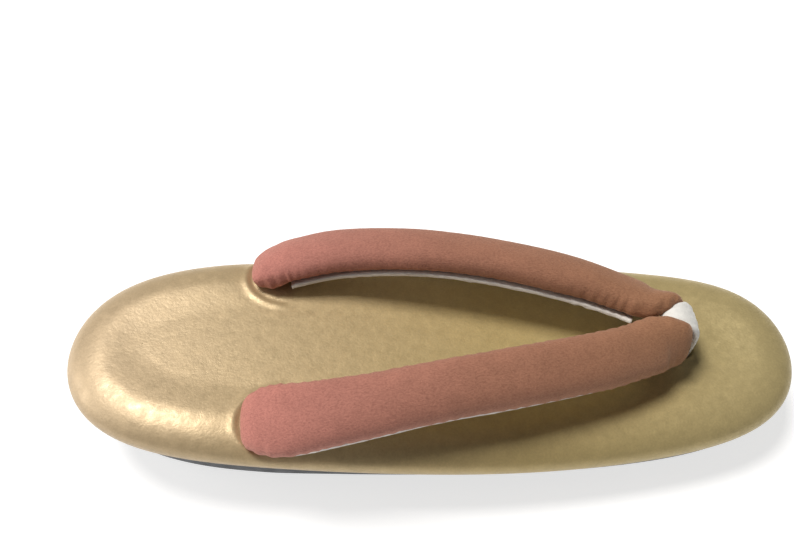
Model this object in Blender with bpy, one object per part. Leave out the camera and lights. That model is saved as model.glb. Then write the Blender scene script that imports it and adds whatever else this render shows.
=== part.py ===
"""A right-foot zori sandal: a low wedge sole, a padded footbed and a padded V strap held by a toe loop.

Sizes are in millimetres until a vertex is placed. +X points to the toes, +Y to the wearer's left,
and the sole rests on Z = 0.
"""
import math
from collections import namedtuple

import bmesh
import bpy
from mathutils import Vector

MM = 0.001
GAP = 0.3

# Plan outline of the footbed
HALF_LENGTH = 120.0
OUTLINE_TERMS = (50.95, -0.05, 10.98, -0.69, 1.56, -0.43)
OUTLINE_BOW = 1.91
OUTLINE_POINTS = 84

# Height of the footbed's crest: heel, mid length and toe follow one cubic
CREST_MID = 27.66
CREST_SLOPE = -8.89
CREST_CURVE = 1.34
CREST_TOE_LIFT = 6.0

# Footbed section
BED_THICK = 11.0
RIM_ROLL = 13.2
RIM_EQUATOR = 0.4
RIM_TUCK = 3.0
DISH_DEPTH = 0.9
DISH_START = 11.0
DISH_END = 25.0
BED_SPANS = 6
SEAT_DEPTH = 1.3
SEAT_X = -54.0
SEAT_Y = 31.0
SEAT_LENGTH = 15.0
SEAT_WIDTH = 13.0
SEAT_GAP = 0.45

# Sole
SOLE_TOP_INSET = 3.2
SOLE_HEEL_INSET = 10.7
SOLE_WAIST_INSET = 10.0
SOLE_TOE_INSET = 4.4
TOE_SPRING = 4.9
SPRING_START = 0.35
SPRING_LEAN = 0.35
ARCH_RISE = 1.2
ARCH_MIDDLE = -0.15
ARCH_HALF = 0.3
SOLE_EDGE = 1.5

# Strap
STRAP_AXIS_Y = 1.0
STRAP_POINTS = 24
STRAP_STEPS = 3
DOME_POWER = 2.3
FLAT_POWER = 3.2
TAIL_X = -55.5
TAIL_Y = 29.6
TAIL_WIDTH = 12.0
TAIL_THICK = 4.4
LINING_THICK = 1.9
LINING_SHARE = 0.9
LINING_POINTS = 12

# One arm of the strap from its slot to the apex, measured from the strap's own middle plane
StrapRow = namedtuple("StrapRow", "x y z heading tilt width dome flat")
STRAP_ROWS = (
    (-61.2, 28.0, 31.9, 4.0, 20.0, 8.0, 1.2, 1.4),
    (-59.8, 28.4, 32.6, 4.0, 22.0, 14.4, 3.0, 3.6),
    (-56.8, 29.4, 33.5, 3.0, 22.0, 18.8, 4.6, 5.0),
    (-52.0, 30.5, 34.5, 2.0, 21.0, 21.2, 5.6, 4.2),
    (-46.0, 31.2, 36.0, 0.0, 18.0, 21.6, 6.0, 3.0),
    (-30.0, 31.0, 39.9, -3.0, 14.0, 19.6, 6.0, 3.0),
    (-5.0, 27.8, 43.0, -9.0, 15.6, 18.2, 6.0, 3.0),
    (20.0, 23.3, 42.5, -12.0, 17.4, 18.2, 6.0, 3.0),
    (45.0, 17.0, 40.1, -17.0, 18.8, 18.1, 6.0, 3.0),
    (60.0, 11.9, 37.5, -20.0, 25.0, 17.6, 6.0, 3.2),
    (68.0, 8.6, 36.6, -22.0, 36.0, 17.8, 5.8, 4.2),
    (72.8, 8.0, 36.2, -28.0, 58.0, 17.0, 4.6, 4.0),
    (76.2, 7.8, 35.7, -44.0, 76.0, 15.6, 3.6, 2.6),
    (77.8, 6.2, 34.8, -60.0, 83.0, 13.0, 2.8, 2.4),
    (78.4, 3.6, 33.4, -80.0, 84.0, 9.4, 2.2, 2.2),
    (78.4, 0.0, 32.8, -90.0, 85.0, 8.0, 2.0, 2.2),
)
LINING_START_X = -49.5
LINING_END_X = 66.0

# Toe loop: a closed band around the strap's apex, seen from the side
LoopRow = namedtuple("LoopRow", "x z half_width thick")
LOOP_ROWS = (
    (81.6, 15.2, 3.6, 2.0),
    (83.0, 17.6, 3.9, 2.2),
    (83.1, 22.5, 4.2, 2.2),
    (83.1, 27.0, 4.8, 2.4),
    (82.9, 32.0, 5.6, 2.6),
    (82.3, 36.4, 6.2, 2.8),
    (80.8, 39.3, 6.0, 2.8),
    (77.8, 40.7, 4.9, 2.8),
    (74.8, 40.4, 3.3, 2.6),
    (72.7, 38.2, 2.0, 2.4),
    (72.4, 33.8, 1.8, 2.4),
    (74.2, 29.4, 2.6, 2.4),
    (77.8, 26.0, 3.4, 2.2),
    (79.9, 22.4, 3.9, 2.2),
    (80.2, 17.6, 3.9, 2.2),
)
LOOP_POINTS = 12
LOOP_STEPS = 2
LOOP_CLEARANCE = 0.35

# Openings in the footbed
TOE_HOLE_X = 81.0
TOE_HOLE_LENGTH = 8.3
TOE_HOLE_WIDTH = 9.6
HOLE_DEPTH = 20.0
TOOL_POINTS = 20
TOOL_POWER = 3.6


def half_width(phi):
    """Half the outline's width at angle phi, which runs from heel (0) to toe (pi)."""
    series = sum(term * math.cos(order * phi) for order, term in enumerate(OUTLINE_TERMS))
    return series * abs(math.sin(phi))


def outline_point(phi):
    """Point of the plan outline; phi below pi is the outer side of the foot."""
    along = -math.cos(phi)
    side = -1.0 if phi < math.pi else 1.0
    return Vector((HALF_LENGTH * along, side * half_width(phi) + OUTLINE_BOW * along * along))


def inset_point(phi, inset):
    """Outline point moved inwards along the outline's normal."""
    step = 1e-4
    ahead = outline_point(phi + step)
    behind = outline_point(phi - step)
    tangent = (ahead - behind).normalized()
    inward = Vector((-tangent.y, tangent.x))
    return outline_point(phi) + inward * inset


OUTLINE_ANGLES = [2.0 * math.pi * (index + 0.5) / OUTLINE_POINTS for index in range(OUTLINE_POINTS)]
FINE_OUTLINE = [outline_point(2.0 * math.pi * (index + 0.5) / 360) for index in range(360)]


def crest_height(x):
    """Height of the footbed's crest at x."""
    along = x / HALF_LENGTH
    return CREST_MID + CREST_SLOPE * along + CREST_CURVE * along ** 2 + CREST_TOE_LIFT * along ** 3


def smooth_step(value):
    """Cubic step from 0 to 1."""
    value = min(max(value, 0.0), 1.0)
    return value * value * (3.0 - 2.0 * value)


def edge_distance(x, y):
    """Distance from a plan point to the outline."""
    return min(math.hypot(x - point.x, y - point.y) for point in FINE_OUTLINE)


def seat_depth(x, y):
    """How far the strap presses the padding down at a plan point."""
    along = (x - SEAT_X) / SEAT_LENGTH
    across = (abs(y - STRAP_AXIS_Y) - SEAT_Y) / SEAT_WIDTH
    return SEAT_DEPTH * math.exp(-2.0 * (along * along + across * across))


def bed_top(x, y):
    """Height of the footbed's top surface at a plan point inside the outline."""
    return rim_height(x, edge_distance(x, y)) - seat_depth(x, y)


def rim_height(x, inset):
    """Height of the footbed's top surface at a known distance from the outline."""
    rise = BED_THICK * (1.0 - RIM_EQUATOR)
    drop = 0.0
    if inset < RIM_ROLL:
        share = (RIM_ROLL - inset) / RIM_ROLL
        drop = rise * (1.0 - math.sqrt(max(0.0, 1.0 - share * share)))
    dish = DISH_DEPTH * smooth_step((inset - DISH_START) / (DISH_END - DISH_START))
    return crest_height(x) - drop - dish


def interpolate(rows, kind, steps, closed=False):
    """Catmull-Rom interpolation of every column; each result is a row of the given kind."""
    count = len(rows)
    result = []
    spans = count if closed else count - 1
    for span in range(spans):
        if closed:
            picks = [rows[(span + offset) % count] for offset in (-1, 0, 1, 2)]
        else:
            picks = [rows[min(max(span + offset, 0), count - 1)] for offset in (-1, 0, 1, 2)]
        for step in range(steps):
            share = step / steps
            result.append(kind(*(hermite(values, share) for values in zip(*picks))))
    if not closed:
        result.append(kind(*rows[-1]))
    return result


def hermite(values, share):
    """Point between the middle two of four values."""
    before, start, end, after = values
    lean_start = 0.5 * (end - before)
    lean_end = 0.5 * (after - start)
    square = share * share
    cube = square * share
    return (
        (2.0 * cube - 3.0 * square + 1.0) * start
        + (cube - 2.0 * square + share) * lean_start
        + (3.0 * square - 2.0 * cube) * end
        + (cube - square) * lean_end
    )


def mesh_object(name, points, faces, finish):
    """Object from points in millimetres and faces, with its normals facing out."""
    mesh = bpy.data.meshes.new(name)
    mesh.from_pydata([tuple(value * MM for value in point) for point in points], [], faces)
    shape = bmesh.new()
    shape.from_mesh(mesh)
    bmesh.ops.recalc_face_normals(shape, faces=shape.faces)
    shape.to_mesh(mesh)
    shape.free()
    mesh.materials.append(finish)
    mesh.shade_smooth()
    item = bpy.data.objects.new(name, mesh)
    collection.objects.link(item)
    return item


def ring_faces(first, second, count):
    """Quads between two rings of the same length, given the index of each ring's first point."""
    faces = []
    for index in range(count):
        following = (index + 1) % count
        faces.append((first + index, first + following, second + following, second + index))
    return faces


def loft(name, rings, finish):
    """Closed body through rings of equal length, with a flat face at each end."""
    count = len(rings[0])
    points = [point for ring in rings for point in ring]
    faces = []
    for level in range(len(rings) - 1):
        faces += ring_faces(level * count, (level + 1) * count, count)
    faces.append(tuple(range(count)))
    last = (len(rings) - 1) * count
    faces.append(tuple(range(last, last + count)))
    return mesh_object(name, points, faces, finish)


def bridge_cap(points, faces, start, count, spans, height):
    """Fill a ring with rows that cross it from side to side; height gives z at a plan point."""
    half = count // 2
    rows = []
    for index in range(half):
        left = start + index
        right = start + count - 1 - index
        row = [left]
        for span in range(1, spans):
            share = span / spans
            x = points[left][0] * (1.0 - share) + points[right][0] * share
            y = points[left][1] * (1.0 - share) + points[right][1] * share
            points.append((x, y, height(x, y)))
            row.append(len(points) - 1)
        row.append(right)
        rows.append(row)
    for index in range(half - 1):
        for span in range(spans):
            faces.append((rows[index][span], rows[index][span + 1],
                          rows[index + 1][span + 1], rows[index + 1][span]))
    faces.append(tuple(rows[0]))
    faces.append(tuple(reversed(rows[-1])))


def material(name, colour, roughness, metallic=0.0):
    """Principled material."""
    item = bpy.data.materials.new(name)
    item.use_nodes = True
    shader = item.node_tree.nodes["Principled BSDF"]
    shader.inputs["Base Color"].default_value = (*colour, 1.0)
    shader.inputs["Roughness"].default_value = roughness
    shader.inputs["Metallic"].default_value = metallic
    return item


def sole_inset(along):
    """How far the sole's lower edge lies inside the outline."""
    if along < 0.0:
        return SOLE_WAIST_INSET + (SOLE_HEEL_INSET - SOLE_WAIST_INSET) * smooth_step(-along)
    return SOLE_WAIST_INSET + (SOLE_TOE_INSET - SOLE_WAIST_INSET) * smooth_step(along)


def sole_bottom(x, y):
    """Height of the sole's underside: flat heel and forefoot, hollow waist, rising toe."""
    along = x / HALF_LENGTH
    past = max(0.0, (along - SPRING_START) / (1.0 - SPRING_START))
    spring = TOE_SPRING * past * (SPRING_LEAN + (1.0 - SPRING_LEAN) * past)
    across = abs(along - ARCH_MIDDLE) / ARCH_HALF
    arch = ARCH_RISE * math.sin(0.5 * math.pi * max(0.0, 1.0 - across))
    return spring + arch


def sole_top(x, y):
    """Height of the sole's upper face, which carries the footbed."""
    return crest_height(x) - BED_THICK - GAP


def make_sole(finish):
    """Wedge sole lofted from its lower edge to the face under the footbed."""
    points = []
    faces = []
    levels = ((1.0, 0.0, SOLE_EDGE), (1.0, SOLE_EDGE, 0.0), (0.5, None, 0.0), (0.0, None, 0.0))
    for lower_share, lift, tuck in levels:
        for phi in OUTLINE_ANGLES:
            low_inset = sole_inset(-math.cos(phi))
            inset = SOLE_TOP_INSET + (low_inset - SOLE_TOP_INSET) * lower_share + tuck
            spot = inset_point(phi, inset)
            low = sole_bottom(spot.x, spot.y)
            high = sole_top(spot.x, spot.y)
            z = low + lift if lift is not None else high + (low - high) * lower_share
            points.append((spot.x, spot.y, z))
    for level in range(len(levels) - 1):
        faces += ring_faces(level * OUTLINE_POINTS, (level + 1) * OUTLINE_POINTS, OUTLINE_POINTS)
    bridge_cap(points, faces, 0, OUTLINE_POINTS, BED_SPANS, sole_bottom)
    top_ring = (len(levels) - 1) * OUTLINE_POINTS
    bridge_cap(points, faces, top_ring, OUTLINE_POINTS, BED_SPANS, sole_top)
    return mesh_object("sole", points, faces, finish)


def make_footbed(finish):
    """Padded footbed with a rolled rim and a dished top."""
    points = []
    faces = []
    below = BED_THICK * RIM_EQUATOR
    rings = []
    for degrees in (90, 65, 40, 20):
        angle = math.radians(degrees)
        rings.append((RIM_TUCK * (1.0 - math.cos(angle)), below * math.sin(angle)))
    for drop_inset, drop in rings:
        for phi in OUTLINE_ANGLES:
            spot = inset_point(phi, drop_inset)
            points.append((spot.x, spot.y, crest_height(spot.x) - BED_THICK + below - drop))
    insets = [RIM_ROLL * (1.0 - math.cos(math.radians(angle))) for angle in (0, 18, 34, 48, 62, 76, 90)]
    insets += [17.0, 21.0, 25.0]
    for inset in insets:
        for phi in OUTLINE_ANGLES:
            spot = inset_point(phi, inset)
            z = rim_height(spot.x, inset) - seat_depth(spot.x, spot.y)
            points.append((spot.x, spot.y, z))
    total = len(rings) + len(insets)
    for level in range(total - 1):
        faces += ring_faces(level * OUTLINE_POINTS, (level + 1) * OUTLINE_POINTS, OUTLINE_POINTS)
    bridge_cap(points, faces, 0, OUTLINE_POINTS, BED_SPANS,
               lambda x, y: crest_height(x) - BED_THICK)
    bridge_cap(points, faces, (total - 1) * OUTLINE_POINTS, OUTLINE_POINTS, BED_SPANS,
               lambda x, y: crest_height(x) - DISH_DEPTH - seat_depth(x, y))
    return mesh_object("footbed", points, faces, finish)


def upright_tool(name, centre, length, width, depth):
    """Upright prism with a rounded oblong plan, kept out of the model for one Boolean step."""
    plan = oval(length, 0.5 * width, 0.5 * width, TOOL_POINTS, TOOL_POWER, TOOL_POWER)
    x, y, z = centre
    rings = [[(x + u, y + v, z + lift) for u, v in plan] for lift in (-0.5 * depth, 0.5 * depth)]
    return set_aside(loft(name, rings, felt))


def set_aside(tool):
    """Keep an object out of the model, for use in a Boolean step."""
    for owner in list(tool.users_collection):
        owner.objects.unlink(tool)
    cutters.objects.link(tool)
    tool.hide_render = True
    tool.display_type = "WIRE"
    return tool


def combine(target, tool, operation):
    """Join the tool to the target or cut it away."""
    step = target.modifiers.new(tool.name, "BOOLEAN")
    step.operation = operation
    step.solver = "EXACT"
    step.object = tool


def strap_frame(rows, index):
    """Centre, across and up directions at one row of the strap's path."""
    row = rows[index]
    ahead = rows[min(index + 1, len(rows) - 1)]
    behind = rows[max(index - 1, 0)]
    centre = Vector((row.x, row.y, row.z))
    tangent = Vector((ahead.x - behind.x, ahead.y - behind.y, ahead.z - behind.z)).normalized()
    if index == len(rows) - 1:
        tangent = Vector((0.0, -1.0, 0.0))
    heading = math.radians(row.heading)
    side = Vector((-math.sin(heading), math.cos(heading), 0.0))
    side = (side - tangent * side.dot(tangent)).normalized()
    lift = tangent.cross(side)
    tilt = math.radians(row.tilt)
    across = side * math.cos(tilt) - lift * math.sin(tilt)
    up = side * math.sin(tilt) + lift * math.cos(tilt)
    return centre, across, up


def oval(width, dome, flat, count, dome_power, flat_power):
    """Points of a padded section: a domed upper half over a flatter lower half."""
    result = []
    for index in range(count):
        angle = 2.0 * math.pi * index / count
        cosine = math.cos(angle)
        sine = math.sin(angle)
        power = dome_power if sine >= 0.0 else flat_power
        depth = dome if sine >= 0.0 else flat
        across = math.copysign(abs(cosine) ** (2.0 / power), cosine) * width / 2.0
        up = math.copysign(abs(sine) ** (2.0 / power), sine) * depth
        result.append((across, up))
    return result


def strap_rings():
    """Rings of one arm, from the footbed to the apex, in the strap's own middle plane."""
    rows = interpolate(STRAP_ROWS, StrapRow, STRAP_STEPS)
    rings = []
    for index, row in enumerate(rows):
        centre, across, up = strap_frame(rows, index)
        section = oval(row.width, row.dome, row.flat, STRAP_POINTS, DOME_POWER, FLAT_POWER)
        rings.append([centre + across * u + up * v for u, v in section])
    return rings


def placed(point, side):
    """Move a strap point into the sandal, on side +1 or -1, clear of the padding below it."""
    y = STRAP_AXIS_Y + side * point.y
    z = point.z
    if point.x < SEAT_X + SEAT_LENGTH:
        z = max(z, bed_top(point.x, y) + SEAT_GAP)
    return (point.x, y, z)


def make_strap(finish):
    """One padded band that runs from one slot to the other around the apex."""
    rings = strap_rings()
    sequence = [[placed(point, 1.0) for point in ring] for ring in rings]
    sequence += [[placed(point, -1.0) for point in ring] for ring in reversed(rings[:-1])]
    item = loft("strap_upper", sequence, finish)
    for side, label in ((1.0, "inner"), (-1.0, "outer")):
        low = crest_height(TAIL_X) - BED_THICK + GAP
        high = crest_height(TAIL_X) + 2.6
        spot = (TAIL_X, STRAP_AXIS_Y + side * TAIL_Y, 0.5 * (low + high))
        tool = upright_tool("strap_tail_" + label, spot, TAIL_THICK, TAIL_WIDTH, high - low)
        combine(item, tool, "UNION")
    return item


def make_lining(name, side, finish):
    """Felt strip under one arm, from the footbed to just behind the apex."""
    rows = interpolate(STRAP_ROWS, StrapRow, STRAP_STEPS)
    rings = []
    half = 0.5 * LINING_THICK
    for index, row in enumerate(rows):
        if not LINING_START_X < row.x < LINING_END_X:
            continue
        centre, across, up = strap_frame(rows, index)
        middle = centre - up * (row.flat + GAP + half)
        section = oval(row.width * LINING_SHARE, half, half, LINING_POINTS, 5.0, 5.0)
        rings.append([middle + across * u + up * v for u, v in section])
    return loft(name, [[placed(point, side) for point in ring] for ring in rings], finish)


def make_toe_loop(name, finish, grow=0.0):
    """Closed band around the strap's apex whose two legs go down into the toe hole."""
    rows = interpolate(LOOP_ROWS, LoopRow, LOOP_STEPS, closed=True)
    count = len(rows)
    points = []
    faces = []
    for index, row in enumerate(rows):
        ahead = rows[(index + 1) % count]
        behind = rows[index - 1]
        tangent = Vector((ahead.x - behind.x, 0.0, ahead.z - behind.z)).normalized()
        out = Vector((tangent.z, 0.0, -tangent.x))
        centre = Vector((row.x, STRAP_AXIS_Y, row.z))
        half = 0.5 * row.thick + grow
        for u, v in oval(2.0 * (row.half_width + grow), half, half, LOOP_POINTS, 3.0, 3.0):
            points.append(tuple(centre + Vector((0.0, u, 0.0)) + out * v))
    for index in range(count):
        following = (index + 1) % count
        faces += ring_faces(index * LOOP_POINTS, following * LOOP_POINTS, LOOP_POINTS)
    return mesh_object(name, points, faces, finish)


for leftover in list(bpy.data.objects):
    bpy.data.objects.remove(leftover, do_unlink=True)
collection = bpy.data.collections.new("zori_sandal")
bpy.context.scene.collection.children.link(collection)
cutters = bpy.data.collections.new("cutters")
bpy.context.scene.collection.children.link(cutters)

rubber = material("sole_rubber", (0.025, 0.028, 0.034), 0.6)
leather = material("gold_leather", (0.52, 0.42, 0.26), 0.35, 0.4)
crepe = material("rose_crepe", (0.45, 0.2, 0.15), 0.8)
felt = material("white_felt", (0.85, 0.82, 0.76), 0.95)

make_sole(rubber)
footbed = make_footbed(leather)
for side, label in ((1.0, "inner"), (-1.0, "outer")):
    spot = (TAIL_X, STRAP_AXIS_Y + side * TAIL_Y, crest_height(TAIL_X) - 4.0)
    length = TAIL_THICK + 2.0 * GAP
    width = TAIL_WIDTH + 2.0 * GAP
    combine(footbed, upright_tool("slot_" + label, spot, length, width, HOLE_DEPTH), "DIFFERENCE")
spot = (TOE_HOLE_X, STRAP_AXIS_Y, crest_height(TOE_HOLE_X) - 4.0)
toe_hole = upright_tool("toe_hole", spot, TOE_HOLE_LENGTH, TOE_HOLE_WIDTH, HOLE_DEPTH)
combine(footbed, toe_hole, "DIFFERENCE")
strap = make_strap(crepe)
combine(strap, set_aside(make_toe_loop("loop_channel", felt, LOOP_CLEARANCE)), "DIFFERENCE")
make_lining("lining_inner", 1.0, felt)
make_lining("lining_outer", -1.0, felt)
make_toe_loop("toe_loop", felt)
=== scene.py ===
"""Looks of a right-foot zori sandal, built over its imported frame.

Sizes are in millimetres until a vertex is placed. +X points to the toes, +Y to the wearer's left,
and the sole rests on Z = 0.
"""
import math
from collections import namedtuple

import bmesh
import bpy
import numpy as np
from mathutils import Matrix, Vector, noise


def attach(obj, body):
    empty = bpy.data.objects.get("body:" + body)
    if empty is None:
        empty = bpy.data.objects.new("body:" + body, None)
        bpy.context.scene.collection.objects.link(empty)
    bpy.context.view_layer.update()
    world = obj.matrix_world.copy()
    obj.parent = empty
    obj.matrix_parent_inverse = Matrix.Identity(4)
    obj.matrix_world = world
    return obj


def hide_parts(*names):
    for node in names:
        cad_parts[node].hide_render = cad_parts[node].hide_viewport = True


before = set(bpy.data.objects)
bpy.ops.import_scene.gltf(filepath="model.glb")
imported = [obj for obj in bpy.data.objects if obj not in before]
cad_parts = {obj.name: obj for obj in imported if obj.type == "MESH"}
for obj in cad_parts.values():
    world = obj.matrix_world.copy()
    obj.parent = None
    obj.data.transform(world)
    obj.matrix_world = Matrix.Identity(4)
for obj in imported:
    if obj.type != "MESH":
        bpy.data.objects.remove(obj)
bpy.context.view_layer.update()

MM = 0.001
GAP = 0.3

# Plan outline and section of the footbed, as in the part's source
HALF_LENGTH = 120.0
OUTLINE_TERMS = (50.95, -0.05, 10.98, -0.69, 1.56, -0.43)
OUTLINE_BOW = 1.91
CREST_MID = 27.66
CREST_SLOPE = -8.89
CREST_CURVE = 1.34
CREST_TOE_LIFT = 6.0
BED_THICK = 11.0
RIM_ROLL = 13.2
RIM_EQUATOR = 0.4
RIM_TUCK = 3.0
DISH_DEPTH = 0.9
DISH_START = 11.0
DISH_END = 25.0
SEAT_DEPTH = 1.3
SEAT_X = -54.0
SEAT_Y = 31.0
SEAT_LENGTH = 15.0
SEAT_WIDTH = 13.0
SEAT_GAP = 0.45

# Sole, as in the part's source
SOLE_TOP_INSET = 3.2
SOLE_HEEL_INSET = 10.2
SOLE_WAIST_INSET = 9.3
SOLE_TOE_INSET = 4.4
TOE_SPRING = 4.9
SPRING_START = 0.35
SPRING_LEAN = 0.35
ARCH_RISE = 1.2
ARCH_MIDDLE = -0.15
ARCH_HALF = 0.3
SOLE_EDGE = 1.5

# Mesh density of the leather and the sole
RIM_POINTS = 620
BED_ROWS = 36
SOLE_POINTS = 360
DENSE_SPOTS = ((-57.0, 11.0, 1.6), (80.0, 9.0, 1.8))

# Leather around the strap's ends and the toe loop
NOSE_X = -49.5
NOSE_Y = 28.6
NOSE_LENGTH = 12.6
NOSE_WIDTH = 10.9
LIP_HEIGHT = 0.5
LIP_OFFSET = 2.1
LIP_WIDTH = 1.1
GROOVE_DEPTH = 0.45
GROOVE_WIDTH = 0.8
TOE_HOLE_X = 81.4
TOE_HOLE_HALF_X = 3.6
TOE_HOLE_HALF_Y = 4.4
TOE_HOLE_DEPTH = 6.0
TOE_LIP_HEIGHT = 0.5

# Strap: one arm from its slot to the apex, measured from the strap's own middle plane
STRAP_AXIS_Y = 1.0
STRAP_STEPS = 14
STRAP_POINTS = 96
DOME_POWER = 2.3
FLAT_POWER = 3.2
StrapRow = namedtuple("StrapRow", "x y z heading tilt width dome flat")
STRAP_ROWS = (
    (-61.2, 28.0, 31.9, 4.0, 20.0, 8.0, 1.2, 1.4),
    (-59.8, 28.4, 32.6, 4.0, 22.0, 14.4, 3.0, 3.6),
    (-56.8, 29.4, 33.5, 3.0, 22.0, 18.8, 4.6, 5.0),
    (-52.0, 30.5, 34.5, 2.0, 21.0, 21.2, 5.6, 4.2),
    (-46.0, 31.2, 36.0, 0.0, 18.0, 21.6, 6.0, 3.0),
    (-30.0, 31.0, 39.9, -3.0, 14.0, 19.6, 6.0, 3.0),
    (-5.0, 27.8, 43.0, -9.0, 15.6, 18.2, 6.0, 3.0),
    (20.0, 23.3, 42.5, -12.0, 17.4, 18.2, 6.0, 3.0),
    (45.0, 17.0, 40.1, -17.0, 18.8, 18.1, 6.0, 3.0),
    (60.0, 11.9, 37.5, -20.0, 25.0, 17.6, 6.0, 3.2),
    (68.0, 8.6, 36.6, -22.0, 36.0, 17.8, 5.8, 4.2),
    (72.8, 8.0, 36.2, -28.0, 58.0, 17.0, 4.6, 4.0),
    (76.2, 7.8, 35.7, -44.0, 76.0, 15.6, 3.6, 2.6),
    (77.8, 6.2, 34.8, -60.0, 83.0, 13.0, 2.8, 2.4),
    (78.4, 3.6, 33.4, -80.0, 84.0, 9.4, 2.2, 2.2),
    (78.4, 0.0, 32.8, -90.0, 85.0, 8.0, 2.0, 2.2),
)

# Felt under each arm
FELT_THICK = 1.9
FELT_SHARE = 0.93
FELT_POINTS = 40
FELT_START_X = -50.0
FELT_END_X = 66.5

# Toe loop: a closed band around the strap's apex, seen from the side
LoopRow = namedtuple("LoopRow", "x z half_width thick")
LOOP_ROWS = (
    (81.6, 15.2, 3.6, 2.0),
    (83.0, 17.6, 3.9, 2.2),
    (83.1, 22.5, 4.2, 2.2),
    (83.1, 27.0, 4.8, 2.4),
    (82.9, 32.0, 5.6, 2.6),
    (82.3, 36.4, 6.2, 2.8),
    (80.8, 39.3, 6.0, 2.8),
    (77.8, 40.7, 4.9, 2.8),
    (74.8, 40.4, 3.3, 2.6),
    (72.7, 38.2, 2.0, 2.4),
    (72.4, 33.8, 1.8, 2.4),
    (74.2, 29.4, 2.6, 2.4),
    (77.8, 26.0, 3.4, 2.2),
    (79.9, 22.4, 3.9, 2.2),
    (80.2, 17.6, 3.9, 2.2),
)
LOOP_POINTS = 40
LOOP_STEPS = 12

# Camera at the photo's angle to the sandal
CAMERA_PLACE = (-25.05, -160.434, 256.132)
CAMERA_FORWARD = (0.04343495, 0.64284859, -0.76476081)
CAMERA_RIGHT = (0.99877619, -0.04606466, 0.01800458)
CAMERA_UP = (0.02365423, 0.76460692, 0.64406268)
FOCAL_PIXELS = 851.05
FRAME_WIDTH = 794.0
SENSOR = 36.0


def smooth_step(value):
    """Cubic step from 0 to 1."""
    value = min(max(value, 0.0), 1.0)
    return value * value * (3.0 - 2.0 * value)


def bell(value, width):
    """Gaussian bump of height 1."""
    return math.exp(-(value / width) ** 2)


def outline_point(phi):
    """Point of the plan outline at angle phi from the heel; below pi is the foot's outer side."""
    series = sum(term * math.cos(order * phi) for order, term in enumerate(OUTLINE_TERMS))
    along = -math.cos(phi)
    side = -1.0 if phi < math.pi else 1.0
    return Vector((HALF_LENGTH * along,
                   side * series * abs(math.sin(phi)) + OUTLINE_BOW * along * along))


def outline_frame(phi):
    """Point of the outline and its inward normal."""
    step = 1e-4
    tangent = (outline_point(phi + step) - outline_point(phi - step)).normalized()
    return outline_point(phi), Vector((-tangent.y, tangent.x))


def outline_angles(count, spots):
    """Angles round the outline, closer together near each spot (x, reach, extra density)."""
    fine = 4000
    total = 0.0
    running = []
    for index in range(fine):
        phi = math.pi * (index + 0.5) / fine
        x = -HALF_LENGTH * math.cos(phi)
        total += 1.0 + sum(extra * bell(x - place, reach) for place, reach, extra in spots)
        running.append(total)
    half = count // 2
    angles = []
    cursor = 0
    for index in range(half):
        goal = total * (index + 0.5) / half
        while running[cursor] < goal:
            cursor += 1
        angles.append(math.pi * (cursor + 0.5) / fine)
    return angles + [2.0 * math.pi - phi for phi in reversed(angles)]


def crest_height(x):
    """Height of the footbed's crest at x."""
    along = x / HALF_LENGTH
    return CREST_MID + CREST_SLOPE * along + CREST_CURVE * along ** 2 + CREST_TOE_LIFT * along ** 3


def rim_height(x, inset):
    """Height of the plain footbed's top at a known distance from the outline."""
    rise = BED_THICK * (1.0 - RIM_EQUATOR)
    drop = 0.0
    if inset < RIM_ROLL:
        share = (RIM_ROLL - inset) / RIM_ROLL
        drop = rise * (1.0 - math.sqrt(max(0.0, 1.0 - share * share)))
    dish = DISH_DEPTH * smooth_step((inset - DISH_START) / (DISH_END - DISH_START))
    return crest_height(x) - drop - dish


def seat_depth(x, y):
    """How far the strap presses the padding down at a plan point."""
    along = (x - SEAT_X) / SEAT_LENGTH
    across = (abs(y - STRAP_AXIS_Y) - SEAT_Y) / SEAT_WIDTH
    return SEAT_DEPTH * math.exp(-2.0 * (along * along + across * across))


def leather_relief(x, y):
    """Lips, creases and dimples of the leather around the strap's ends and the toe loop."""
    relief = 0.0
    if x < -30.0:
        across = (abs(y - STRAP_AXIS_Y) - NOSE_Y) / NOSE_WIDTH
        along = (x - NOSE_X) / NOSE_LENGTH
        radius = math.hypot(along, across)
        gap = (radius - 1.0) * 0.5 * (NOSE_LENGTH + NOSE_WIDTH)
        rear = smooth_step((-along + 0.15) / 0.5)
        uneven = 0.85 + 0.3 * noise.noise(Vector((x * 0.3, y * 0.3, 1.7)))
        relief += rear * uneven * LIP_HEIGHT * bell(gap - LIP_OFFSET, LIP_WIDTH)
        relief -= rear * GROOVE_DEPTH * bell(gap - 0.2, GROOVE_WIDTH)
    if x > 60.0:
        along = (x - TOE_HOLE_X) / TOE_HOLE_HALF_X
        across = (y - STRAP_AXIS_Y) / TOE_HOLE_HALF_Y
        radius = (abs(along) ** 2.6 + abs(across) ** 2.6) ** (1.0 / 2.6)
        gap = (radius - 1.0) * 0.5 * (TOE_HOLE_HALF_X + TOE_HOLE_HALF_Y)
        relief -= TOE_HOLE_DEPTH * (1.0 - smooth_step((gap + 2.2) / 3.4))
        relief += TOE_LIP_HEIGHT * bell(gap - 2.0, 1.2)
    return relief


def hermite(values, share):
    """Point between the middle two of four values."""
    before, start, end, after = values
    lean_start = 0.5 * (end - before)
    lean_end = 0.5 * (after - start)
    square = share * share
    cube = square * share
    return (
        (2.0 * cube - 3.0 * square + 1.0) * start
        + (cube - 2.0 * square + share) * lean_start
        + (3.0 * square - 2.0 * cube) * end
        + (cube - square) * lean_end
    )


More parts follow.
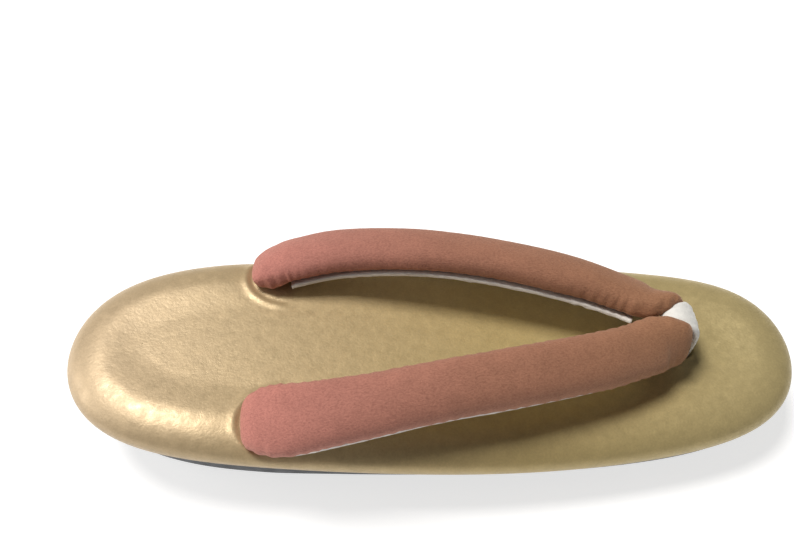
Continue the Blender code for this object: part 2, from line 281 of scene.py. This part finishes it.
def interpolate(rows, kind, steps, closed=False):
    """Catmull-Rom interpolation of every column; each result is a row of the given kind."""
    count = len(rows)
    result = []
    spans = count if closed else count - 1
    for span in range(spans):
        if closed:
            picks = [rows[(span + offset) % count] for offset in (-1, 0, 1, 2)]
        else:
            picks = [rows[min(max(span + offset, 0), count - 1)] for offset in (-1, 0, 1, 2)]
        for step in range(steps):
            result.append(kind(*(hermite(values, step / steps) for values in zip(*picks))))
    if not closed:
        result.append(kind(*rows[-1]))
    return result


def mesh_object(name, points, faces, finish):
    """Smooth object from points in millimetres and faces, with its normals facing out."""
    mesh = bpy.data.meshes.new(name)
    mesh.from_pydata([tuple(value * MM for value in point) for point in points], [], faces)
    shape = bmesh.new()
    shape.from_mesh(mesh)
    bmesh.ops.recalc_face_normals(shape, faces=shape.faces)
    shape.to_mesh(mesh)
    shape.free()
    mesh.materials.append(finish)
    mesh.shade_smooth()
    item = bpy.data.objects.new(name, mesh)
    bpy.context.scene.collection.objects.link(item)
    return item


def ring_faces(first, second, count):
    """Quads between two rings of the same length, given the index of each ring's first point."""
    faces = []
    for index in range(count):
        following = (index + 1) % count
        faces.append((first + index, first + following, second + following, second + index))
    return faces


def loft(name, rings, finish):
    """Closed body through rings of equal length, with a fan of faces at each end."""
    count = len(rings[0])
    points = [point for ring in rings for point in ring]
    faces = []
    for level in range(len(rings) - 1):
        faces += ring_faces(level * count, (level + 1) * count, count)
    for start in (0, (len(rings) - 1) * count):
        ring = points[start:start + count]
        centre = tuple(sum(point[axis] for point in ring) / count for axis in range(3))
        points.append(centre)
        hub = len(points) - 1
        faces += [(start + index, start + (index + 1) % count, hub) for index in range(count)]
    return mesh_object(name, points, faces, finish)


def bridge_cap(points, faces, start, count, spans, height):
    """Fill a ring with rows that cross it from side to side; height gives z at a plan point."""
    half = count // 2
    rows = []
    for index in range(half):
        left = start + index
        right = start + count - 1 - index
        row = [left]
        for span in range(1, spans):
            share = span / spans
            x = points[left][0] * (1.0 - share) + points[right][0] * share
            y = points[left][1] * (1.0 - share) + points[right][1] * share
            points.append((x, y, height(x, y)))
            row.append(len(points) - 1)
        row.append(right)
        rows.append(row)
    for index in range(half - 1):
        for span in range(spans):
            faces.append((rows[index][span], rows[index][span + 1],
                          rows[index + 1][span + 1], rows[index + 1][span]))
    faces.append(tuple(rows[0]))
    faces.append(tuple(reversed(rows[-1])))


def make_footbed(finish):
    """Leather-covered footbed with a rolled rim, pressed seats for the strap and a toe hole."""
    angles = outline_angles(RIM_POINTS, DENSE_SPOTS)
    frames = [outline_frame(phi) for phi in angles]
    below = BED_THICK * RIM_EQUATOR
    points = []
    faces = []
    rings = 0
    for degrees in range(90, 0, -10):
        angle = math.radians(degrees)
        inset = RIM_TUCK * (1.0 - math.cos(angle))
        drop = below * math.sin(angle)
        for point, inward in frames:
            spot = point + inward * inset
            points.append((spot.x, spot.y, crest_height(spot.x) - BED_THICK + below - drop))
        rings += 1
    insets = [RIM_ROLL * (1.0 - math.cos(math.radians(angle))) for angle in range(0, 90, 4)]
    insets += [RIM_ROLL + 0.9 * step for step in range(14)]
    for inset in insets:
        for point, inward in frames:
            spot = point + inward * inset
            z = rim_height(spot.x, inset) - seat_depth(spot.x, spot.y)
            fade = smooth_step(inset / 4.0)
            points.append((spot.x, spot.y, z + fade * leather_relief(spot.x, spot.y)))
        rings += 1
    for level in range(rings - 1):
        faces += ring_faces(level * RIM_POINTS, (level + 1) * RIM_POINTS, RIM_POINTS)
    bridge_cap(points, faces, 0, RIM_POINTS, 8, lambda x, y: crest_height(x) - BED_THICK)
    bridge_cap(points, faces, (rings - 1) * RIM_POINTS, RIM_POINTS, BED_ROWS,
               lambda x, y: crest_height(x) - DISH_DEPTH - seat_depth(x, y) + leather_relief(x, y))
    return mesh_object("footbed_leather", points, faces, finish)


def sole_inset(along):
    """How far the sole's lower edge lies inside the outline."""
    if along < 0.0:
        return SOLE_WAIST_INSET + (SOLE_HEEL_INSET - SOLE_WAIST_INSET) * smooth_step(-along)
    return SOLE_WAIST_INSET + (SOLE_TOE_INSET - SOLE_WAIST_INSET) * smooth_step(along)


def sole_bottom(x, y):
    """Height of the sole's underside: flat heel and forefoot, hollow waist, rising toe."""
    along = x / HALF_LENGTH
    past = max(0.0, (along - SPRING_START) / (1.0 - SPRING_START))
    spring = TOE_SPRING * past * (SPRING_LEAN + (1.0 - SPRING_LEAN) * past)
    across = abs(along - ARCH_MIDDLE) / ARCH_HALF
    return spring + ARCH_RISE * math.sin(0.5 * math.pi * max(0.0, 1.0 - across))


def make_sole(finish):
    """Moulded wedge sole with a rounded lower edge."""
    angles = outline_angles(SOLE_POINTS, ())
    frames = [outline_frame(phi) for phi in angles]
    levels = []
    for degrees in (0, 22.5, 45, 67.5, 90):
        angle = math.radians(degrees)
        levels.append((1.0, SOLE_EDGE * (1.0 - math.cos(angle)), SOLE_EDGE * (1.0 - math.sin(angle))))
    levels += [(share, None, 0.0) for share in (0.8, 0.6, 0.4, 0.2, 0.06)]
    levels += [(0.0, None, 0.25)]
    points = []
    faces = []
    for share, lift, tuck in levels:
        for point, inward in frames:
            low_inset = sole_inset(point.x / HALF_LENGTH)
            inset = SOLE_TOP_INSET + (low_inset - SOLE_TOP_INSET) * share + tuck
            spot = point + inward * inset
            low = sole_bottom(spot.x, spot.y)
            high = crest_height(spot.x) - BED_THICK - GAP
            z = low + lift if lift is not None else high + (low - high) * share
            points.append((spot.x, spot.y, z))
    for level in range(len(levels) - 1):
        faces += ring_faces(level * SOLE_POINTS, (level + 1) * SOLE_POINTS, SOLE_POINTS)
    bridge_cap(points, faces, 0, SOLE_POINTS, 16, sole_bottom)
    bridge_cap(points, faces, (len(levels) - 1) * SOLE_POINTS, SOLE_POINTS, 8,
               lambda x, y: crest_height(x) - BED_THICK - GAP)
    return mesh_object("sole_moulding", points, faces, finish)


def edge_distance(x, y):
    """Distance from a plan point to the outline."""
    return float(np.hypot(FINE_OUTLINE[:, 0] - x, FINE_OUTLINE[:, 1] - y).min())


def strap_frame(rows, index):
    """Centre, across and up directions at one row of the strap's path."""
    row = rows[index]
    ahead = rows[min(index + 1, len(rows) - 1)]
    behind = rows[max(index - 1, 0)]
    centre = Vector((row.x, row.y, row.z))
    tangent = Vector((ahead.x - behind.x, ahead.y - behind.y, ahead.z - behind.z)).normalized()
    if index == len(rows) - 1:
        tangent = Vector((0.0, -1.0, 0.0))
    heading = math.radians(row.heading)
    side = Vector((-math.sin(heading), math.cos(heading), 0.0))
    side = (side - tangent * side.dot(tangent)).normalized()
    lift = tangent.cross(side)
    tilt = math.radians(row.tilt)
    across = side * math.cos(tilt) - lift * math.sin(tilt)
    up = side * math.sin(tilt) + lift * math.cos(tilt)
    return centre, across, up


def oval(width, dome, flat, count, dome_power, flat_power):
    """Points of a padded section: a domed upper half over a flatter lower half."""
    result = []
    for index in range(count):
        angle = 2.0 * math.pi * index / count
        cosine = math.cos(angle)
        sine = math.sin(angle)
        power = dome_power if sine >= 0.0 else flat_power
        depth = dome if sine >= 0.0 else flat
        across = math.copysign(abs(cosine) ** (2.0 / power), cosine) * width / 2.0
        up = math.copysign(abs(sine) ** (2.0 / power), sine) * depth
        result.append((across, up))
    return result


def placed(point, side):
    """Move a strap point into the sandal, on side +1 or -1, clear of the padding below it."""
    y = STRAP_AXIS_Y + side * point.y
    z = point.z
    if point.x < SEAT_X + SEAT_LENGTH:
        bed = rim_height(point.x, edge_distance(point.x, y)) - seat_depth(point.x, y)
        z = max(z, bed + 0.1)
    return (point.x, y, z)


def strap_pucker(row, u, v, side):
    """Small outward shift of the cloth: gathers along the felt seam and soft hollows."""
    edge = abs(u) / (0.5 * row.width)
    seam = smooth_step((edge - 0.55) / 0.4) * (1.0 if v < 0.35 * row.dome else 0.35)
    beat = math.sin(row.x * 1.75 + 1.3 * math.sin(row.x * 0.31 + side) + (2.0 if u > 0.0 else 0.0))
    gather = 0.16 * seam * beat
    soft = 0.35 * noise.noise(Vector((row.x * 0.07, u * 0.12 + side * 9.0, v * 0.12)))
    return gather + soft


def make_strap(finish):
    """One padded crepe band that runs from one slot to the other around the apex."""
    rows = interpolate(STRAP_ROWS, StrapRow, STRAP_STEPS)
    arms = []
    for side in (1.0, -1.0):
        rings = []
        for index, row in enumerate(rows):
            centre, across, up = strap_frame(rows, index)
            ring = []
            for u, v in oval(row.width, row.dome, row.flat, STRAP_POINTS, DOME_POWER, FLAT_POWER):
                push = strap_pucker(row, u, v, side)
                reach = math.hypot(u, v) or 1.0
                grown = 1.0 + push / reach
                ring.append(placed(centre + across * (u * grown) + up * (v * grown), side))
            rings.append(ring)
        arms.append(rings)
    return loft("strap_crepe", arms[0] + list(reversed(arms[1][:-1])), finish)


def make_felt(name, side, finish):
    """Felt strip under one arm, from the footbed to just behind the apex."""
    rows = interpolate(STRAP_ROWS, StrapRow, STRAP_STEPS)
    rings = []
    for index, row in enumerate(rows):
        if not FELT_START_X < row.x < FELT_END_X:
            continue
        centre, across, up = strap_frame(rows, index)
        thick = FELT_THICK * (1.0 + 0.16 * noise.noise(Vector((row.x * 0.35, side * 5.0, 0.0))))
        middle = centre - up * (row.flat + 0.15 + thick / 2.0)
        ring = []
        for u, v in oval(row.width * FELT_SHARE, thick / 2.0, thick / 2.0, FELT_POINTS, 5.0, 5.0):
            wave = 0.16 * noise.noise(Vector((row.x * 0.8, u, side * 3.0 + v)))
            ring.append(placed(middle + across * (u + math.copysign(wave, u)) + up * (v + wave), side))
        rings.append(ring)
    return loft(name, rings, finish)


def make_toe_loop(finish):
    """White band around the strap's apex whose two legs go down into the toe hole."""
    rows = interpolate(LOOP_ROWS, LoopRow, LOOP_STEPS, closed=True)
    count = len(rows)
    points = []
    faces = []
    for index, row in enumerate(rows):
        ahead = rows[(index + 1) % count]
        behind = rows[index - 1]
        tangent = Vector((ahead.x - behind.x, 0.0, ahead.z - behind.z)).normalized()
        out = Vector((tangent.z, 0.0, -tangent.x))
        centre = Vector((row.x, STRAP_AXIS_Y, row.z))
        half = 0.5 * row.thick
        for u, v in oval(2.0 * row.half_width, half, half, LOOP_POINTS, 2.6, 2.6):
            fold = 0.12 * math.sin(u * 2.1 + row.z * 0.15) if v > 0.0 else 0.0
            points.append(tuple(centre + Vector((0.0, u, 0.0)) + out * (v + fold)))
    for index in range(count):
        following = (index + 1) % count
        faces += ring_faces(index * LOOP_POINTS, following * LOOP_POINTS, LOOP_POINTS)
    return mesh_object("toe_loop_cloth", points, faces, finish)


class Finish:
    """Principled material with helpers that add nodes and links."""

    def __init__(self, name):
        self.material = bpy.data.materials.new(name)
        self.material.use_nodes = True
        self.tree = self.material.node_tree
        self.shader = self.tree.nodes["Principled BSDF"]
        self.place = self.node("ShaderNodeTexCoord").outputs["Object"]

    def node(self, kind, **settings):
        """New node; settings are its own properties."""
        item = self.tree.nodes.new(kind)
        for key, value in settings.items():
            setattr(item, key, value)
        return item

    def link(self, source, target):
        """Link an output to an input."""
        self.tree.links.new(source, target)

    def mapped(self, scale):
        """Object coordinates multiplied by a scale for each axis."""
        item = self.node("ShaderNodeMapping")
        self.link(self.place, item.inputs["Vector"])
        item.inputs["Scale"].default_value = scale
        return item.outputs["Vector"]

    def noise(self, scale, detail=2.0, rough=0.5, distortion=0.0, vector=None):
        """Noise texture output between 0 and 1."""
        item = self.node("ShaderNodeTexNoise")
        self.link(vector or self.place, item.inputs["Vector"])
        item.inputs["Scale"].default_value = scale
        item.inputs["Detail"].default_value = detail
        item.inputs["Roughness"].default_value = rough
        item.inputs["Distortion"].default_value = distortion
        return item.outputs["Fac"]

    def ramp(self, source, stops):
        """Colour ramp from (position, colour) pairs."""
        item = self.node("ShaderNodeValToRGB")
        self.link(source, item.inputs["Fac"])
        ramp = item.color_ramp
        ramp.elements[0].position, ramp.elements[0].color = stops[0][0], (*stops[0][1], 1.0)
        ramp.elements[1].position, ramp.elements[1].color = stops[-1][0], (*stops[-1][1], 1.0)
        for position, colour in stops[1:-1]:
            ramp.elements.new(position).color = (*colour, 1.0)
        return item.outputs["Color"]

    def span(self, source, low, high, new_low=0.0, new_high=1.0):
        """Map a value's range to another, clamped."""
        item = self.node("ShaderNodeMapRange")
        self.link(source, item.inputs["Value"])
        item.inputs["From Min"].default_value = low
        item.inputs["From Max"].default_value = high
        item.inputs["To Min"].default_value = new_low
        item.inputs["To Max"].default_value = new_high
        return item.outputs["Result"]

    def axis(self, letter):
        """One object coordinate, in metres."""
        item = self.node("ShaderNodeSeparateXYZ")
        self.link(self.place, item.inputs["Vector"])
        return item.outputs[letter]

    def multiply(self, first, second, factor=1.0):
        """Two colours multiplied."""
        item = self.node("ShaderNodeMix", data_type="RGBA", blend_type="MULTIPLY")
        item.inputs["Factor"].default_value = factor
        self.link(first, item.inputs["A"])
        self.link(second, item.inputs["B"])
        return item.outputs["Result"]

    def bump(self, height, distance, strength=1.0, below=None):
        """Bump from a height output; distance is in millimetres."""
        item = self.node("ShaderNodeBump")
        item.inputs["Strength"].default_value = strength
        item.inputs["Distance"].default_value = distance * MM
        self.link(height, item.inputs["Height"])
        if below:
            self.link(below, item.inputs["Normal"])
        return item.outputs["Normal"]

    def constants(self, **values):
        """Set the shader's own sockets; underscores stand for spaces."""
        for key, value in values.items():
            self.shader.inputs[key.replace("_", " ")].default_value = value


def leather_finish():
    """Pearly champagne leather with a fine grain."""
    skin = Finish("champagne_leather")
    tone = skin.ramp(
        skin.span(skin.axis("X"), -0.12, 0.12),
        ((0.0, (0.60, 0.45, 0.28)), (0.35, (0.56, 0.42, 0.22)), (0.6, (0.54, 0.41, 0.18)),
         (1.0, (0.57, 0.46, 0.22))),
    )
    mottle = skin.ramp(skin.noise(260.0, 4.0, 0.6), ((0.25, (0.86, 0.86, 0.86)), (0.75, (1.0, 1.0, 1.0))))
    speck = skin.ramp(skin.noise(1500.0, 2.0, 0.6), ((0.3, (0.88, 0.88, 0.88)), (0.7, (1.0, 1.0, 1.0))))
    skin.link(skin.multiply(skin.multiply(tone, mottle), speck), skin.shader.inputs["Base Color"])
    grain = skin.bump(skin.noise(1100.0, 3.0, 0.6), 0.06)
    skin.link(skin.bump(skin.noise(210.0, 3.0, 0.55), 0.12, below=grain), skin.shader.inputs["Normal"])
    skin.link(skin.span(skin.noise(420.0, 3.0), 0.3, 0.7, 0.36, 0.5), skin.shader.inputs["Roughness"])
    skin.constants(Metallic=0.3)
    return skin.material


def crepe_finish():
    """Crepe cloth that turns from rose at the heel to copper at the toe, with painted shade in its crimp hollows
    and painted light on its crimp crests.
    """
    cloth = Finish("rose_copper_crepe")
    tone = cloth.ramp(
        cloth.span(cloth.axis("X"), -0.062, 0.08),
        ((0.0, (0.56, 0.22, 0.18)), (0.2, (0.46, 0.19, 0.145)), (0.5, (0.40, 0.18, 0.115)),
         (1.0, (0.37, 0.185, 0.095))),
    )
    blotch = cloth.ramp(cloth.noise(180.0, 3.0, 0.6), ((0.25, (0.85, 0.85, 0.85)), (0.75, (1.0, 1.0, 1.0))))
    stretched = cloth.mapped((0.62, 1.0, 1.0))
    crimp = cloth.noise(2100.0, 2.0, 0.55, 0.5, stretched)
    # Painted shade and light: the crimp noise that also drives the bump darkens the colour in the crimp hollows and
    # lightens it a little on the crests.
    crimp_painted_shading = cloth.ramp(crimp, ((0.3, (0.78, 0.74, 0.74)), (0.62, (1.03, 1.03, 1.03))))
    cloth.link(cloth.multiply(cloth.multiply(tone, blotch), crimp_painted_shading), cloth.shader.inputs["Base Color"])
    fine = cloth.bump(cloth.noise(5200.0, 1.0, 0.5), 0.03)
    cloth.link(cloth.bump(crimp, 0.2, below=fine), cloth.shader.inputs["Normal"])
    cloth.constants(Roughness=0.82, Sheen_Weight=0.35, Sheen_Roughness=0.45, Specular_IOR_Level=0.3)
    cloth.shader.inputs["Sheen Tint"].default_value = (1.0, 0.72, 0.55, 1.0)
    return cloth.material


def felt_finish(name, colour, grain):
    """White felt or cloth with a matted surface."""
    felt = Finish(name)
    tint = felt.ramp(felt.noise(900.0, 4.0, 0.65),
                     ((0.25, tuple(value * 0.86 for value in colour)), (0.75, colour)))
    felt.link(tint, felt.shader.inputs["Base Color"])
    fuzz = felt.bump(felt.noise(2600.0, 3.0, 0.7), 0.1)
    felt.link(felt.bump(felt.noise(grain, 4.0, 0.7), 0.25, below=fuzz), felt.shader.inputs["Normal"])
    felt.constants(Roughness=0.95, Sheen_Weight=0.3, Sheen_Roughness=0.6)
    return felt.material


def sole_finish():
    """Dark blue-grey moulded sole."""
    rubber = Finish("slate_sole")
    tint = rubber.ramp(rubber.noise(120.0, 3.0), ((0.3, (0.016, 0.018, 0.022)), (0.7, (0.024, 0.027, 0.033))))
    rubber.link(tint, rubber.shader.inputs["Base Color"])
    rubber.link(rubber.bump(rubber.noise(1400.0, 2.0, 0.6), 0.06), rubber.shader.inputs["Normal"])
    rubber.link(rubber.span(rubber.noise(300.0), 0.3, 0.7, 0.48, 0.62), rubber.shader.inputs["Roughness"])
    return rubber.material


def add_light(name, place, target, size, energy, colour):
    """Square area light that points at a target; places and size are in millimetres."""
    lamp = bpy.data.lights.new(name, "AREA")
    lamp.shape = "SQUARE"
    lamp.size = size * MM
    lamp.energy = energy
    lamp.color = colour
    item = bpy.data.objects.new(name, lamp)
    bpy.context.scene.collection.objects.link(item)
    item.location = Vector(place) * MM
    item.rotation_euler = (Vector(target) - Vector(place)).to_track_quat("-Z", "Y").to_euler()
    return item


FINE_OUTLINE = np.array([tuple(outline_point(2.0 * math.pi * (index + 0.5) / 720)) for index in range(720)])

leather = leather_finish()
crepe = crepe_finish()
felt = felt_finish("white_felt", (0.80, 0.76, 0.70), 700.0)
loop_cloth = felt_finish("white_loop_cloth", (0.84, 0.83, 0.79), 420.0)
rubber = sole_finish()

footbed = make_footbed(leather)
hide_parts("footbed")
sole = make_sole(rubber)
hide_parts("sole")
strap = make_strap(crepe)
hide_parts("strap_upper")
inner = make_felt("felt_inner", 1.0, felt)
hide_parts("lining_inner")
outer = make_felt("felt_outer", -1.0, felt)
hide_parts("lining_outer")
loop = make_toe_loop(loop_cloth)
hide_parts("toe_loop")
for piece in (footbed, sole, strap, inner, outer, loop):
    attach(piece, "root")

floor_mesh = bpy.data.meshes.new("floor")
floor_mesh.from_pydata([(-3.0, -3.0, 0.0), (3.0, -3.0, 0.0), (3.0, 3.0, 0.0), (-3.0, 3.0, 0.0)], [], [(0, 1, 2, 3)])
floor = bpy.data.objects.new("floor", floor_mesh)
bpy.context.scene.collection.objects.link(floor)
ground = Finish("pale_floor")
ground.constants(Base_Color=(0.5, 0.5, 0.5, 1.0), Roughness=0.9, Emission_Color=(1.0, 1.0, 1.0, 1.0),
                 Emission_Strength=0.7)
floor_mesh.materials.append(ground.material)

key = bpy.data.lights.new("key_light", "SUN")
key.energy = 3.0
key.angle = math.radians(22.0)
key.color = (1.0, 0.975, 0.94)
key_item = bpy.data.objects.new("key_light", key)
bpy.context.scene.collection.objects.link(key_item)
key_item.rotation_euler = Vector((0.38, -0.24, -1.0)).to_track_quat("-Z", "Y").to_euler()
add_light("heel_fill", (-900.0, 60.0, 380.0), (-60.0, 0.0, 20.0), 500.0, 3.0, (1.0, 0.98, 0.96))

world = bpy.data.worlds.new("studio")
bpy.context.scene.world = world
world.use_nodes = True
world.node_tree.nodes["Background"].inputs["Color"].default_value = (1.0, 1.0, 1.0, 1.0)
world.node_tree.nodes["Background"].inputs["Strength"].default_value = 0.1
bpy.context.scene.view_settings.view_transform = "Standard"

lens = bpy.data.cameras.new("camera")
lens.sensor_width = SENSOR
lens.lens = FOCAL_PIXELS / FRAME_WIDTH * SENSOR
lens.clip_start = 0.01
camera = bpy.data.objects.new("camera", lens)
bpy.context.scene.collection.objects.link(camera)
backward = -Vector(CAMERA_FORWARD)
turn = Matrix((Vector(CAMERA_RIGHT), Vector(CAMERA_UP), backward)).transposed().to_4x4()
turn.translation = Vector(CAMERA_PLACE) * MM
camera.matrix_world = turn
bpy.context.scene.camera = camera
